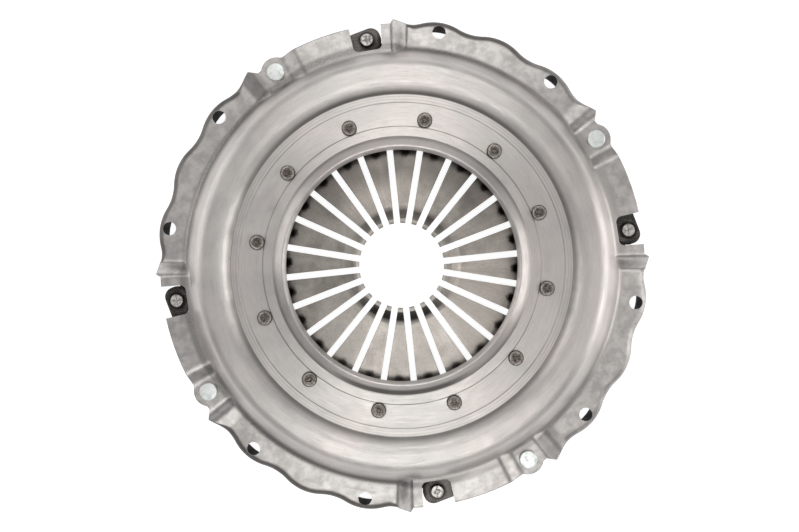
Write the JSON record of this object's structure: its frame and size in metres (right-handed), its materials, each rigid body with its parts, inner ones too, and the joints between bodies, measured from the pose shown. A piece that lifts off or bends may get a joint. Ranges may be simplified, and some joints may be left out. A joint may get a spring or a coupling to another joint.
{
  "type": "clutch pressure plate",
  "caption": "Diaphragm spring clutch cover with scalloped bolting flange, domed cover, slotted spring fingers, strap-driven pressure plate and riveted fulcrum ring.",
  "frame": {"origin": "centre of the bolt circle, on the mounting face of the flange", "axes": "+Z along the rotation axis, from the flywheel towards the release bearing; +X through the middle of a drive strap pack"},
  "size_m": [0.4542, 0.4542, 0.0758],
  "materials": {
    "drawn_steel": "satin drawn sheet",
    "spring_steel": "mottled heat-treated",
    "wire_steel": "drawn wire",
    "dark_rivet": "upset, oiled",
    "zinc_rivet": "zinc plated",
    "lug_rivet": "bright upset",
    "strap_steel": "phosphated spring strip",
    "cast_iron": "as cast, ground face"
  },
  "bodies": {
    "cover_assembly": {"cover": "drawn_steel", "diaphragm_spring": "spring_steel", "upper_fulcrum_ring": "wire_steel", "lower_fulcrum_ring": "wire_steel", "fulcrum_rivets": "dark_rivet", "rivet_sleeves": "wire_steel", "pad_rivets": "zinc_rivet", "strap_1_leaf_1": "strap_steel", "strap_1_leaf_2": "strap_steel", "strap_1_leaf_3": "strap_steel", "strap_2_leaf_1": "strap_steel", "strap_2_leaf_2": "strap_steel", "strap_2_leaf_3": "strap_steel", "strap_3_leaf_1": "strap_steel", "strap_3_leaf_2": "strap_steel", "strap_3_leaf_3": "strap_steel", "strap_4_leaf_1": "strap_steel", "strap_4_leaf_2": "strap_steel", "strap_4_leaf_3": "strap_steel"},
    "pressure_plate_assembly": {"pressure_plate": "cast_iron", "lug_rivets": "lug_rivet"}
  },
  "joints": [
    {"name": "plate_lift", "type": "slide", "parent": "cover_assembly", "child": "pressure_plate_assembly", "axis": [0, 0, 1], "range_m": [0, 0.0045], "stiffness_N_per_m": 60000, "springref_m": -0.012, "deforming": ["diaphragm_spring", "strap_1_leaf_1", "strap_1_leaf_2", "strap_1_leaf_3", "strap_2_leaf_1", "strap_2_leaf_2", "strap_2_leaf_3", "strap_3_leaf_1", "strap_3_leaf_2", "strap_3_leaf_3", "strap_4_leaf_1", "strap_4_leaf_2", "strap_4_leaf_3"]}
  ]
}
